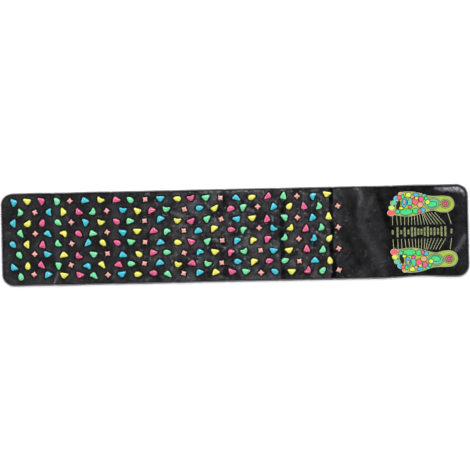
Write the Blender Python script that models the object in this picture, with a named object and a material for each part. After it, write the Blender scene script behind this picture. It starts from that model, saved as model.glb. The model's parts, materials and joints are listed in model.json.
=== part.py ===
"""Pebble foot massage mat.

Plastic pebbles are bonded by their feet to a foam pad and stand up through punched holes in a sheet
of PVC leather. An anti-slip backing lies under the pad, and a folded tape binds the edge.
Seven creases across the mat divide it into eight panels, which fold up accordion-wise: the first
crease is a valley (pebbles meet pebbles), the second a mountain (back meets back), and so on.

Frame: metres, X along the mat, Y across it, Z up, origin on the floor under the middle of the mat.
"""
import math

import bmesh
import bpy
from mathutils import Matrix, Vector

# Overall sizes
MAT_LENGTH = 1.750
MAT_WIDTH = 0.350
CORNER_RADIUS = 0.045

# The creases divide the length into panels in these parts, from the left end
PANEL_PARTS = (194, 220, 227, 201, 200, 204, 219, 285)
CREASE_GAP = 0.0006

# Layers, from the floor up, with the gap that lies between any two pieces that meet
BACKING_THICKNESS = 0.0008
PAD_THICKNESS = 0.0030
COVER_THICKNESS = 0.0010
SEAT_GAP = 0.0003

# Edge binding tape
TAPE_THICKNESS = 0.0008
TAPE_LIP = 0.0070

# Pebbles
PEBBLE_LENGTH = 0.0335
PEBBLE_WIDTH = 0.0250
STAR_SIZE = 0.0240
PEBBLE_HEIGHT = 0.0090
CROWN_RISE = 0.0035
SHOULDER_SHARE = 0.93
CROWN_SHARE = 0.58
HOLE_CLEARANCE = 0.0003

# Pebble pattern
BARE_SIDE = 0.015
PANEL_COLUMNS = (6, 8, 8, 7, 7, 7, 1)
BARE_LEFT_END = 0.0335
BARE_RIGHT_OF_LAST_COLUMN = 0.190
CREASE_MARGIN = 0.0020

# Clearance between two faces that a fold brings together
FOLD_CLEARANCE = 0.0005

# Steps along each rounded corner
CORNER_STEPS = 6
PEBBLE_CORNER_STEPS = 1

# One word for each pebble, row by row from the far edge, each row from the left.
# T slim triangle, W wide triangle, H half-moon, C crescent, E egg, Q wedge: with the clock hour
# that the tip or the belly points to. S star: with its turn in steps of STAR_TURN.
PEBBLE_ROWS = (
    "T6 W6 T6 H3 S0 T3 C7 T3 E4 S3 C6 E9 C6 T9 S5 W12 E2 T12 T12 S0 H9 W6",
    "W3 S1 W9 W3 T4 C4 S1 C6 T6 W7 C6 S4 E2 T6 W3 T6 S1 T3 E1 T12 C4 S5",
    "W9 W9 E12 E5 S0 T6 C7 E5 T3 S2 Q2 H6 T9 W9 S4 T9 T6 T12 T5 S0 T3 T12",
    "W8 S0 W12 C1 E4 T3 S5 W6 W6 T3 C11 S3 W12 Q7 E3 C10 S0 C7 C5 T1 C4 S5",
    "E5 W9 W9 C8 S5 T12 E4 E4 W6 S3 W12 E3 C6 W6 S3 Q2 C12 T2 C4 S1 C4 E1",
    "E5 S0 T3 W12 C7 W6 S2 Q4 E4 T3 E3 S2 C11 W6 C11 C6 S2 H6 W6 T12 T1 S5",
    "Q4 E12 T11 T6 S5 C1 T4 W12 E3 S4 W12 C7 W12 C7 S3 E3 Q7 E3 Q3 S2 W12 H8",
    "E5 S5 T3 W6 W4 W12 S0 T9 E3 Q5 W12 S4 Q3 T2 T3 W6 S4 E4 W6 C5 E1 S4",
)
CLOCK_HOUR = math.radians(30)
STAR_TURN = math.radians(15)

# The five colours follow each other along a row, and odd rows start three places later
COLOUR_CYCLE = ("blue", "yellow", "pink", "green", "star")
ODD_ROW_START = 3

# Colour, roughness and metallic value of each material
FINISHES = {
    "pvc_leather": ((0.022, 0.021, 0.025), 0.35, 0.0),
    "foam": ((0.060, 0.060, 0.062), 0.90, 0.0),
    "anti_slip_fabric": ((0.020, 0.020, 0.022), 0.85, 0.0),
    "binding_tape": ((0.035, 0.035, 0.038), 0.60, 0.0),
    "blue": ((0.08, 0.60, 0.80), 0.25, 0.0),
    "yellow": ((0.88, 0.90, 0.14), 0.25, 0.0),
    "pink": ((0.82, 0.14, 0.31), 0.25, 0.0),
    "green": ((0.20, 0.85, 0.41), 0.25, 0.0),
    "star": ((0.92, 0.42, 0.38), 0.25, 0.0),
}

# Heights worked out from the layers
PAD_BOTTOM = max(BACKING_THICKNESS, TAPE_THICKNESS) + SEAT_GAP
PAD_TOP = PAD_BOTTOM + PAD_THICKNESS
COVER_BOTTOM = PAD_TOP + SEAT_GAP
COVER_TOP = COVER_BOTTOM + COVER_THICKNESS
PEBBLE_TOP = COVER_TOP + PEBBLE_HEIGHT
TAPE_TOP = COVER_TOP + SEAT_GAP + TAPE_THICKNESS
LAYER_INSET = TAPE_THICKNESS + SEAT_GAP
BACKING_INSET = TAPE_LIP + SEAT_GAP
VALLEY_AXIS_Z = PEBBLE_TOP + FOLD_CLEARANCE / 2
MOUNTAIN_AXIS_Z = -FOLD_CLEARANCE / 2


def clear_scene():
    """Remove every object that the file starts with."""
    for obj in list(bpy.data.objects):
        bpy.data.objects.remove(obj)


def make_material(name):
    """Principled material with the finish of that name."""
    colour, roughness, metallic = FINISHES[name]
    material = bpy.data.materials.new(name)
    material.use_nodes = True
    shader = material.node_tree.nodes["Principled BSDF"]
    shader.inputs["Base Color"].default_value = (*colour, 1)
    shader.inputs["Roughness"].default_value = roughness
    shader.inputs["Metallic"].default_value = metallic
    return material


def panel_bounds():
    """Left and right X of each panel, crease gaps not taken off."""
    edges = [-MAT_LENGTH / 2]
    for part in PANEL_PARTS:
        edges.append(edges[-1] + MAT_LENGTH * part / sum(PANEL_PARTS))
    return list(zip(edges[:-1], edges[1:]))


def make_pivots(bounds):
    """An empty for each panel, and its place: the first at the origin, the rest on their crease."""
    pivots = []
    before = None
    origin = Vector((0, 0, 0))
    for number, (left, _) in enumerate(bounds, start=1):
        place = origin
        if before:
            height = VALLEY_AXIS_Z if number % 2 == 0 else MOUNTAIN_AXIS_Z
            place = Vector((left, 0, height))
        pivot = bpy.data.objects.new(f"panel_{number}", None)
        bpy.context.scene.collection.objects.link(pivot)
        pivot.parent = before
        pivot.location = place - origin
        pivots.append((pivot, place))
        before = pivot
        origin = place
    return pivots


def add_piece(name, bm, materials, pivot, pivot_place):
    """Turn a bmesh in world coordinates into an object that hangs from its panel's empty."""
    bmesh.ops.recalc_face_normals(bm, faces=bm.faces)
    bmesh.ops.translate(bm, vec=-pivot_place, verts=bm.verts)
    mesh = bpy.data.meshes.new(name)
    bm.to_mesh(mesh)
    bm.free()
    mesh.shade_smooth()
    mesh.set_sharp_from_angle(angle=math.radians(35))
    for material in materials:
        mesh.materials.append(material)
    obj = bpy.data.objects.new(name, mesh)
    bpy.context.scene.collection.objects.link(obj)
    obj.parent = pivot
    return obj


def arc(centre_x, centre_y, start, stop, steps):
    """Edge points of a corner of the mat with their inward normals, anticlockwise."""
    points = []
    for step in range(steps + 1):
        angle = start + (stop - start) * step / steps
        out_x = math.cos(angle)
        out_y = math.sin(angle)
        place = Vector((centre_x + CORNER_RADIUS * out_x, centre_y + CORNER_RADIUS * out_y))
        points.append((place, Vector((-out_x, -out_y))))
    return points


def edge_chains(number, left, right):
    """The mat's own edge along one panel: open chains of (point, inward normal), anticlockwise.

    A middle panel has two straight chains, and an end panel has one, round both its corners.
    """
    left += CREASE_GAP / 2
    right -= CREASE_GAP / 2
    side = MAT_WIDTH / 2
    end = MAT_LENGTH / 2
    turn = math.pi / 2
    near = Vector((0, 1))
    far = Vector((0, -1))
    if number == 1:
        corner = CORNER_RADIUS - end
        far_corner = arc(corner, side - CORNER_RADIUS, turn, 2 * turn, CORNER_STEPS)
        near_corner = arc(corner, CORNER_RADIUS - side, 2 * turn, 3 * turn, CORNER_STEPS)
        start = (Vector((right, side)), far)
        stop = (Vector((right, -side)), near)
        return [[start, *far_corner, *near_corner, stop]]
    if number == len(PANEL_PARTS):
        corner = end - CORNER_RADIUS
        near_corner = arc(corner, CORNER_RADIUS - side, -turn, 0, CORNER_STEPS)
        far_corner = arc(corner, side - CORNER_RADIUS, 0, turn, CORNER_STEPS)
        start = (Vector((left, -side)), near)
        stop = (Vector((left, side)), far)
        return [[start, *near_corner, *far_corner, stop]]
    near_chain = [(Vector((left, -side)), near), (Vector((right, -side)), near)]
    far_chain = [(Vector((right, side)), far), (Vector((left, side)), far)]
    return [near_chain, far_chain]


def inset_points(chain, inset):
    """The points of an edge chain, moved inward by inset."""
    return [place + normal * inset for place, normal in chain]


def border_points(chains, inset):
    """Closed outline of a layer whose edge lies inset from the mat's own edge."""
    return [p for chain in chains for p in inset_points(chain, inset)]


def swept_profile(chain, profile):
    """A strip of closed profile, given as (inset, z) pairs, swept along an edge chain."""
    bm = bmesh.new()
    sections = []
    for place, normal in chain:
        sections.append([bm.verts.new((*(place + normal * inset), z)) for inset, z in profile])
    for section, following in zip(sections[:-1], sections[1:]):
        for i in range(len(profile)):
            j = (i + 1) % len(profile)
            bm.faces.new((section[i], section[j], following[j], following[i]))
    bm.faces.new(sections[0])
    bm.faces.new(sections[-1])
    return bm


def rounded_outline(corners):
    """Anticlockwise outline of (x, y, radius) corners, each an arc; radius 0 is a plain point."""
    points = []
    count = len(corners)
    for i, (x, y, radius) in enumerate(corners):
        here = Vector((x, y))
        to_last = (Vector(corners[i - 1][:2]) - here).normalized()
        to_next = (Vector(corners[(i + 1) % count][:2]) - here).normalized()
        if radius == 0:
            points.append(here)
            continue
        half = to_last.angle(to_next) / 2
        centre = here + (to_last + to_next).normalized() * radius / math.sin(half)
        first = (here + to_last * radius / math.tan(half) - centre).normalized()
        last = (here + to_next * radius / math.tan(half) - centre).normalized()
        for step in range(PEBBLE_CORNER_STEPS + 1):
            share = step / PEBBLE_CORNER_STEPS
            points.append(centre + first.slerp(last, share) * radius)
    return points


def egg_outline():
    """An ellipse that narrows towards its upper end."""
    points = []
    count = 7 * PEBBLE_CORNER_STEPS
    for i in range(count):
        angle = math.tau * (i + 0.5) / count
        width = math.cos(angle) * (1 - 0.2 * math.sin(angle))
        points.append(Vector((width, math.sin(angle))))
    return points


def star_outline():
    """Four blunt points with hollow sides between them."""
    points = []
    valley = 0.60
    for i in range(4):
        angle = math.tau * i / 4
        for reach, turn in ((1.0, 0), (valley, math.tau / 8)):
            points.append(Vector((math.cos(angle + turn), math.sin(angle + turn))) * reach)
    return points


def sized_outline(points, width, length):
    """The outline centred on its own box and stretched to a width and a length."""
    low_x = min(p.x for p in points)
    low_y = min(p.y for p in points)
    span_x = max(p.x for p in points) - low_x
    span_y = max(p.y for p in points) - low_y
    sized = []
    for p in points:
        x = ((p.x - low_x) / span_x - 0.5) * width
        y = ((p.y - low_y) / span_y - 0.5) * length
        sized.append(Vector((x, y)))
    return sized


def pebble_outlines():
    """Outline of each shape, pointing to twelve o'clock."""
    tall = (PEBBLE_WIDTH, PEBBLE_LENGTH)
    wide = (PEBBLE_LENGTH, PEBBLE_WIDTH)
    triangle = rounded_outline(((0, 22, 3.5), (-14, -13, 4), (14, -13, 4)))
    wide_triangle = rounded_outline(((0, 15, 5), (-19, -11, 3.5), (19, -11, 3.5)))
    half_moon = rounded_outline(((0, 15, 12), (-19, -9, 3), (19, -9, 3)))
    crescent = rounded_outline(((0, 15, 9), (-19, -11, 2.5), (0, -6, 0), (19, -11, 2.5)))
    wedge = rounded_outline(((9, 13, 4), (-7, 16, 4), (-13, -9, 5), (12, -14, 5)))
    return {
        "T": sized_outline(triangle, *tall),
        "W": sized_outline(wide_triangle, *wide),
        "H": sized_outline(half_moon, *wide),
        "C": sized_outline(crescent, *wide),
        "E": sized_outline(egg_outline(), *tall),
        "Q": sized_outline(wedge, *tall),
        "S": sized_outline(star_outline(), STAR_SIZE, STAR_SIZE),
    }


def offset_outline(points, distance):
    """The outline moved outward by distance, with mitred corners."""
    moved = []
    for i, here in enumerate(points):
        before = (here - points[i - 1]).normalized()
        after = (points[(i + 1) % len(points)] - here).normalized()
        first = Vector((before.y, -before.x))
        second = Vector((after.y, -after.x))
        moved.append(here + (first + second) * distance / (1 + first.dot(second)))
    return moved


def scaled_outline(points, share):
    """The outline drawn in towards the middle of its points."""
    middle = sum(points, Vector((0, 0))) / len(points)
    return [middle + (p - middle) * share for p in points]


def column_places(bounds):
    """X of each half column, spread evenly over its panel, with the panel's number."""
    places = []
    last_panel = len(PANEL_COLUMNS)
    for number, count in enumerate(PANEL_COLUMNS, start=1):
        left, right = bounds[number - 1]
        if number == 1:
            left += BARE_LEFT_END
        if number == last_panel:
            right -= BARE_RIGHT_OF_LAST_COLUMN
        pitch = (right - left) / count
        for i in range(count):
            places.append((number, left + (i + 0.5) * pitch))
    return places


def turn_and_place(points, turn, x, y):
    """The outline turned clockwise and moved to its place on the mat."""
    rotation = Matrix.Rotation(-turn, 2)
    return [rotation @ p + Vector((x, y)) for p in points]


def keep_off_creases(points, left, right):
    """Slide an outline along the mat until its hole lies well inside its own panel."""
    reach = CREASE_GAP / 2 + CREASE_MARGIN
    hole = offset_outline(points, HOLE_CLEARANCE)
    short_left = left + reach - min(p.x for p in hole)
    short_right = max(p.x for p in hole) - (right - reach)
    slide = max(short_left, 0) - max(short_right, 0)
    return [p + Vector((slide, 0)) for p in points]


def lay_out_pebbles(bounds):
    """For each panel, its pebbles as (colour slot, outline in place), slots counted from 1."""
    shapes = pebble_outlines()
    columns = column_places(bounds)
    layout = {number: [] for number in range(1, len(bounds) + 1)}
    row_pitch = (MAT_WIDTH - 2 * BARE_SIDE) / len(PEBBLE_ROWS)
    top_row = (len(PEBBLE_ROWS) - 1) / 2
    for row, words in enumerate(PEBBLE_ROWS):
        y = (top_row - row) * row_pitch
        odd = row % 2
        for i, word in enumerate(words.split()):
            number, x = columns[2 * i + odd]
            slot = (i + odd * ODD_ROW_START) % len(COLOUR_CYCLE) + 1
            turn = int(word[1:]) * (STAR_TURN if word[0] == "S" else CLOCK_HOUR)
            outline = turn_and_place(shapes[word[0]], turn, x, y)
            outline = keep_off_creases(outline, *bounds[number - 1])
            layout[number].append((slot, outline))
    return layout


def punched_face(bm, loops):
    """Fill a flat outline, the first loop of vertices, leaving out the loops inside it."""
    edges = []
    for loop in loops:
        for first, second in zip(loop, loop[1:] + loop[:1]):
            edges.append(bm.edges.new((first, second)))
    bmesh.ops.triangle_fill(bm, edges=edges, use_beauty=True, normal=(0, 0, 1))


def ring(bm, points, z):
    """One loop of vertices at a height."""
    return [bm.verts.new((*p, z)) for p in points]


def wall(bm, lower, upper, slot):
    """Faces between two equal loops, in one material slot."""
    count = len(lower)
    for i in range(count):
        j = (i + 1) % count
        face = bm.faces.new((lower[i], lower[j], upper[j], upper[i]))
        face.material_index = slot


def make_cover(chains, outlines):
    """The PVC leather of one panel, with a punched hole round each pebble."""
    bm = bmesh.new()
    loops = [ring(bm, border_points(chains, LAYER_INSET), COVER_BOTTOM)]
    for outline in outlines:
        loops.append(ring(bm, offset_outline(outline, HOLE_CLEARANCE), COVER_BOTTOM))
    punched_face(bm, loops)
    raised = bmesh.ops.extrude_face_region(bm, geom=bm.faces[:])["geom"]
    verts = [item for item in raised if isinstance(item, bmesh.types.BMVert)]
    bmesh.ops.translate(bm, vec=(0, 0, COVER_THICKNESS), verts=verts)
    return bm


def raise_pebble(bm, foot, outline, slot):
    """A domed pebble on the loop of its foot: steep side, shoulder, then a crown."""
    shoulder = ring(bm, scaled_outline(outline, SHOULDER_SHARE), PEBBLE_TOP - CROWN_RISE)
    crown = ring(bm, scaled_outline(outline, CROWN_SHARE), PEBBLE_TOP)
    wall(bm, foot, shoulder, slot)
    wall(bm, shoulder, crown, slot)
    bm.faces.new(crown).material_index = slot


def make_pad(chains, pebbles):
    """The foam pad of one panel with the pebbles that are bonded to it, as (slot, outline)."""
    bm = bmesh.new()
    border = border_points(chains, LAYER_INSET)
    bottom = ring(bm, border, PAD_BOTTOM)
    top = ring(bm, border, PAD_TOP)
    bm.faces.new(bottom)
    feet = [ring(bm, outline, PAD_TOP) for _, outline in pebbles]
    punched_face(bm, [top, *feet])
    wall(bm, bottom, top, 0)
    for foot, (slot, outline) in zip(feet, pebbles):
        raise_pebble(bm, foot, outline, slot)
    return bm


def make_backing(chains):
    """The anti-slip fabric of one panel, which ends at the lower lip of the tape."""
    bm = bmesh.new()
    border = border_points(chains, BACKING_INSET)
    bottom = ring(bm, border, 0)
    top = ring(bm, border, BACKING_THICKNESS)
    bm.faces.new(bottom)
    bm.faces.new(top)
    wall(bm, bottom, top, 0)
    return bm


def make_binding(chain):
    """Tape folded round the edge: a U on its side, lower lip, back and upper lip."""
    profile = (
        (0, 0),
        (TAPE_LIP, 0),
        (TAPE_LIP, TAPE_THICKNESS),
        (TAPE_THICKNESS, TAPE_THICKNESS),
        (TAPE_THICKNESS, TAPE_TOP - TAPE_THICKNESS),
        (TAPE_LIP, TAPE_TOP - TAPE_THICKNESS),
        (TAPE_LIP, TAPE_TOP),
        (0, TAPE_TOP),
    )
    return swept_profile(chain, profile)


def main():
    clear_scene()
    materials = {name: make_material(name) for name in FINISHES}
    pad_materials = [materials[name] for name in ("foam", *COLOUR_CYCLE)]
    bounds = panel_bounds()
    pivots = make_pivots(bounds)
    layout = lay_out_pebbles(bounds)
    for number, (left, right) in enumerate(bounds, start=1):
        pivot = pivots[number - 1]
        pebbles = layout[number]
        chains = edge_chains(number, left, right)
        cover = make_cover(chains, [outline for _, outline in pebbles])
        add_piece(f"cover_{number}", cover, [materials["pvc_leather"]], *pivot)
        add_piece(f"pad_{number}", make_pad(chains, pebbles), pad_materials, *pivot)
        backing = make_backing(chains)
        add_piece(f"backing_{number}", backing, [materials["anti_slip_fabric"]], *pivot)
        sides = [""] if len(chains) == 1 else ["_near", "_far"]
        for side, chain in zip(sides, chains):
            name = f"binding_{number}{side}"
            add_piece(name, make_binding(chain), [materials["binding_tape"]], *pivot)
    bpy.context.view_layer.update()


main()
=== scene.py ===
import json
import math

import bpy
import numpy as np
from bpy.props import FloatProperty, FloatVectorProperty, PointerProperty
from mathutils import Matrix, Vector, geometry

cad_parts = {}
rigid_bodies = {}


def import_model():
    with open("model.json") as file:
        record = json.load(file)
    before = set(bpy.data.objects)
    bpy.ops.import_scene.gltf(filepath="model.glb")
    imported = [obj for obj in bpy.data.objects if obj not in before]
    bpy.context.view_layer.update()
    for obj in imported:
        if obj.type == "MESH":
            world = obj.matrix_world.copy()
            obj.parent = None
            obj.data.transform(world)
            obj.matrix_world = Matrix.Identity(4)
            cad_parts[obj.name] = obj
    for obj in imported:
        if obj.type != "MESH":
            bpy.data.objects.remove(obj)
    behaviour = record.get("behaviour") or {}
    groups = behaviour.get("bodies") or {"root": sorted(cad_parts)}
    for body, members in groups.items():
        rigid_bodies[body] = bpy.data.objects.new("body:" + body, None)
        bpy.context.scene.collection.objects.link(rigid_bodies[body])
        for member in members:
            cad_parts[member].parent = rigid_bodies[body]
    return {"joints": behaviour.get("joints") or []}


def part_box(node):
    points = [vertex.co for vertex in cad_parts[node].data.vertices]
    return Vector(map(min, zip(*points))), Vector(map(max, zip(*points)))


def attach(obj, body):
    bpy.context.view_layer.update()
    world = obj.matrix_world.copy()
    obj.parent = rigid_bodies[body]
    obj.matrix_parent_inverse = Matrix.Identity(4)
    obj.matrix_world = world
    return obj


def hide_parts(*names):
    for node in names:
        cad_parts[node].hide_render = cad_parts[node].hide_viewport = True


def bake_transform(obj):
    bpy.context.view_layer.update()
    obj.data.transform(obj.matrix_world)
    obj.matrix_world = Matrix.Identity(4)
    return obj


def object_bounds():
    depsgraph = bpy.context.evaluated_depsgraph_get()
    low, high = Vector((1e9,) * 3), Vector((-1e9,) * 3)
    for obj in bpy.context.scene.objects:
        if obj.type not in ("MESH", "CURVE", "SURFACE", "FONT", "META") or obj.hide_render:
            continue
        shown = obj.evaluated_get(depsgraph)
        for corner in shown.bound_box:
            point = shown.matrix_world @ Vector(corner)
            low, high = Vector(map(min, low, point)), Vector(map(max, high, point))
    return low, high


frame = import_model()
CAD_BOX = [list(corner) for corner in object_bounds()]

bl_info = {
    "name": "Pebble Massage Mat",
    "version": (1, 0, 0),
    "blender": (4, 5, 0),
    "location": "View3D > Sidebar > Pebble Mat",
    "description": "Dresses a folding foot massage mat: leather, pebbles, foam, tape, stitches and print",
    "category": "Add Mesh",
}

MM = 0.001

# Layers and creases, as the frame has them
COVER_LOW, COVER_HIGH = (corner.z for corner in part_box("cover_1"))
PAD_LOW, PAD_HIGH = (corner.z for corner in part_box("pad_8"))
BACKING_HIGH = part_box("backing_1")[1].z
TAPE_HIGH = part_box("binding_1")[1].z
PEBBLE_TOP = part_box("pad_1")[1].z
BACKING_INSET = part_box("backing_1")[0].x - CAD_BOX[0][0]
LEFT_END, RIGHT_END = CAD_BOX[0][0], CAD_BOX[1][0]
SIDE = CAD_BOX[1][1]
CREASES = sorted(joint["pos_m"][0] for joint in frame["joints"])
EDGES = [LEFT_END, *CREASES, RIGHT_END]

# A dressed piece spans one crease and meets the next in the middle of a panel
SEAMS = [(low + high) / 2 for low, high in zip(EDGES[1:-2], EDGES[2:-1])]
SPANS = list(zip([LEFT_END, *SEAMS], [*SEAMS, RIGHT_END]))

# Pebble pattern, row by row from the far edge, each row from the left.
# T slim triangle, W wide triangle, K wide triangle with its tip left of the middle and M with it
# right, H half-moon, C crescent, E egg, S star: each with the way that its tip or its belly
# points, in steps of TURN_STEP clockwise from the far edge. The pebbles are set one by one: every
# l, r, u or d after that is one NUDGE to the left, right, far edge or near edge.
PEBBLE_ROWS = (
    "W7r T30lu W6u H8l S0l T10 C21 T10l E31 S4 W18 E28l C17 W17 S5l K1 E7 K12r T1llu S0l C30l"
    " W19u",
    "C10 S2 C27 W9 W22d C13d S8 C19 T31l W33ll C19 S3r E8ru M16r H34ll W30llu S0llu T22l E4lu"
    " T35llu C11ll S8",
    "W27l H15d E2 E13l S0 W7 C20d E31l T9 S4l W33luu C19rd W16dd T5ru S2r T28l W17 W11d W5lu S0l"
    " T22lld T0u",
    "M26l S0 K2r C4 E13d T10d S8 T30l W18l W35u C33l S4 H35l W32luu E9ll C31ll S0lu C22 C14 W12d"
    " C11 S8",
    "E14l W27ll T1 C24 S8 K11rr E14rr E30l W19 S5l W35l E10d T31l T5r S4r W32l C33 W31lu C13u S0"
    " C12 E4",
    "E15ll S0lu W20 W35l C23ldd T30l S4l T11dd E31d T9 E9 S7d C34 W19d C32ld C16ld S4 W19rd"
    " W17lld T0u W12rd S8",
    "W22ldd E0l M25ll T18ld S7l C3rd K3r W1l E9 S6ll W35llu C20dd W1 C20dd S4ld E9 W32 E8r E7 S4d"
    " W0 E35d",
    "E35l S1lluu W33uu W19l W20 K2 S0l W17ll E9l E28lu K2 S6l W33lu W34u W20 W19 S0d E30r W18d"
    " C13r E4 S7",
)
PANEL_COLUMNS = (6, 8, 8, 7, 7, 7, 1)
TURN_STEP = math.radians(10)
NUDGE = 3.8 * MM
COLOUR_CYCLE = ("blue", "yellow", "pink", "green", "star")
ODD_ROW_START = 3

# Folds of the leather: height, half width, the painted highlight along its ridge (painted shade
# where negative), and the line that it follows, in millimetres
LONG_FOLDS = (
    (1.6, 17, 0.22, ((463, 165), (477, 115), (467, 78), (480, 14), (516, -62), (560, -150))),
    (1.0, 7, 0.55, ((466, 168), (478, 130), (470, 104))),
    (1.0, 10, 0.3, ((535, 144), (509, 107), (492, 60))),
    (-0.2, 15, -0.8, ((425, -20), (440, -75), (462, -120))),
    (0.7, 9, 0.2, ((425, -50), (452, -104), (474, -158))),
    (0.8, 3, 1.4, ((-681, -168), (-668, -134), (-655, -101))),
    (0.6, 5, 0.35, ((-663, 161), (-649, 131), (-622, 66))),
    (0.6, 4, 0.45, ((-462, -152), (-447, -128))),
    (-0.3, 15, -1.2, ((536, 160), (551, 110), (566, 66), (592, 8), (606, -40))),
    (-0.3, 10, -0.6, ((447, 120), (444, 60), (452, 10))),
    (1.1, 9, 0.75, ((826, -78), (845, -50), (862, -22))),
    (0.6, 9, 0.3, ((806, -96), (816, -138))),
    (1.1, 7, 1.4, ((758, 161), (786, 152), (812, 157), (846, 163))),
    (0.9, 7, 1.3, ((785, 164), (815, 149), (850, 147))),
    (1.0, 7, 1.3, ((828, 160), (852, 152), (862, 132))),
    (0.8, 6, 0.7, ((-237, 90), (-192, 74))),
    (0.8, 6, 0.7, ((-220, 48), (-182, 32))),
    (1.0, 6, 0.9, ((34, 102), (72, 87))),
    (0.8, 5, 0.7, ((-62, -155), (-32, -163))),
    (0.7, 6, 0.5, ((46, -48), (108, -44), (170, -51))),
    (0.8, 6, 0.6, ((187, -85), (216, -109))),
    (0.8, 5, 0.7, ((261, 152), (261, 134))),
    (0.8, 5, 0.7, ((314, 142), (336, 130))),
    (0.8, 6, 0.7, ((315, -1), (341, -21))),
)

# Bands of painted shade beside the creases: number of the crease, the band's distance from it, its
# darkness
CREASE_SHADE_BANDS = (
    (4, -13 * MM, 0.45), (5, 14 * MM, 0.95), (6, -5 * MM, 1.0), (7, -14 * MM, 0.2),
)
# Bands of painted highlight beside the creases, written in the same way
CREASE_HIGHLIGHT_BANDS = ((1, 15 * MM, 0.25), (2, 15 * MM, 0.22))
# How far the painted shade round a punched hole reaches, how strong it is, and how deep its edge sinks
HOLE_SHADE = 3.3 * MM
HOLE_SHADE_STRENGTH = -1.1
HOLE_SINK = 0.35 * MM
# How far the cover dips or rises, by turns, at a crease, and at the last one
CREASE_DEPTH = 0.35 * MM
LAST_CREASE_DEPTH = 0.15 * MM
# Half the width of the strip that bends at a crease, and at the last one
BEND_REACH = 2.2 * MM
LAST_BEND_REACH = 12 * MM
# Puckers, and a band of painted shadow beside the tape: distance from the mat's edge, and half width
PUCKERS = (11 * MM, 7 * MM)
TAPE_SHADOW = (9 * MM, 2.5 * MM)
# How far the far and the near edge are drawn in, and how much of that wanders, in millimetres
FAR_PULL = (1.3, 1.1)
NEAR_PULL = (-0.6, -1.0)
# How much deeper they are drawn in at the near edge beside the chart, and at each crease
CHART_DIP = 5.5
CREASE_DIP = 0.9
# How far the left and the right end creep out, in millimetres
END_CREEP = (1.4, 3.4)
# Where along the mat the strong wrinkles set in, and where the bare part does
WRINKLES_START = (-0.45, -0.15)
BARE_START = (0.36, 0.42)
# Tones of the leather, as multiples of its base colour; most are painted reflection, highlight or shade
LEATHER_TONES = {
    "plain": 1.3, "haze": 7.8, "glint": 20, "bare": 0.2, "worn": 14, "sheen": 48, "hollow": 0.1,
    "dark end": 0.12, "crease": 0.1, "rubbed": 10,
}

# Printed foot chart, in millimetres. A sole's points, zones and toes are measured from its middle:
# along it towards the heel, and across it towards the little toe.
SOLES = ((699, 102, 1), (708, -109, -1))
SOLE_OUTLINE = (
    (-100, -36), (-96, -12), (-86, 10), (-78, 30), (-66, 43), (-46, 45), (-20, 43), (6, 37),
    (32, 28), (60, 26), (92, 26), (114, 19), (124, -2), (117, -22), (98, -32), (72, -31),
    (48, -25), (24, -29), (2, -35), (-24, -43), (-52, -45), (-80, -42),
)
# Ink, middle, half sizes, and turn in degrees
TOES = (
    ("red", -110, -32, 14, 11, 0), ("yellow", -109, -13, 10, 8, 0), ("teal", -102, 5, 10, 8, 15),
    ("blue", -90, 22, 10, 8, 35), ("salmon", -74, 36, 10, 8, 50),
)
ZONES = (
    ("dark", -83, -4, 6, 17, -14), ("leaf", -54, -30, 23, 11, 4), ("blue", -60, 6, 9, 18, -8),
    ("salmon", -60, 8, 4.5, 9, -8), ("yellow", -44, 34, 11, 8, 0), ("teal", -39, 6, 8, 16, -6),
    ("red", -19, 10, 11, 14, 0), ("salmon", -1, -4, 11, 10, 0), ("blue", -16, 33, 11, 7, -10),
    ("leaf", -19, -27, 10, 10, 0), ("blue", 5, -24, 13, 7, 8), ("pink", 4, 18, 9, 10, 0),
    ("line", 44, 0, 29, 21, 6), ("teal", 44, 0, 25, 17, 6), ("leaf", 44, -3, 17, 10, 6),
    ("yellow", 27, 6, 8, 8, 0), ("line", 93, -2, 18, 16, 0), ("lime", 93, -2, 14, 12, 0),
    ("pink", 93, -2, 10, 9, 0), ("red", 93, -2, 4, 4, 0), ("red", -78, 25, 8, 7, 20),
    ("yellow", -73, -15, 7, 5, 0), ("teal", -87, -28, 8, 7, 0), ("salmon", -30, 27, 6, 6, 0),
    ("pink", -39, -11, 7, 5, -5), ("leaf", -66, 28, 5, 8, 0), ("yellow", -14, 21, 6, 5, 0),
    ("teal", 14, 30, 8, 5, 10), ("red", -4, -28, 6, 7, 0), ("leaf", 22, 20, 6, 6, 0),
)
# Numbered tags between the soles: place along the mat, half length, and how far the line from
# the sole leans
TAGS = (
    (593, 8, 0), (611, 19, 3), (625, 7, 2), (638, 17, -2), (652, 9, -2), (665, 18, 0),
    (677, 16, 2), (689, 12, 4), (701, 11, 7), (713, 16, 10), (725, 19, 18), (737, 13, 26),
    (750, 15, 30), (763, 12, 33), (776, 18, 36), (790, 19, 38), (812, 9, 13),
)
# The tags' middle across the mat, and the widths of a tag, a line and a number's stroke
TAG_MIDDLE = -3
TAG_WIDTH = 6.8
LINE_WIDTH = 1.4
STROKE_WIDTH = 0.7
# Where the lines from the far and from the near sole start and stop across the mat
FAR_LINES = (24, 68)
NEAR_LINES = (-30, -70)
# Strokes of the numbers, each between two corners of a cell one wide and two high
STROKES = {
    "a": ((0, 2), (1, 2)), "b": ((1, 2), (1, 1)), "c": ((1, 1), (1, 0)), "d": ((0, 0), (1, 0)),
    "e": ((0, 1), (0, 0)), "f": ((0, 2), (0, 1)), "g": ((0, 1), (1, 1)),
}
DIGITS = ("abcdef", "bc", "abdeg", "abcdg", "bcfg", "acdfg", "acdefg", "abc", "abcdefg", "abcdfg")
INKS = (
    "bare", "lime", "line", "tag", "dark", "red", "yellow", "teal", "blue", "salmon", "pink", "leaf",
)

# Steps of a rounded corner of the mat
CORNER_STEPS = 18
# Steps between points of the cover, of the layers under it and of the tape
COVER_STEP = 2.7 * MM
LAYER_STEP = 25 * MM
TAPE_STEP = 5 * MM
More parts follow.
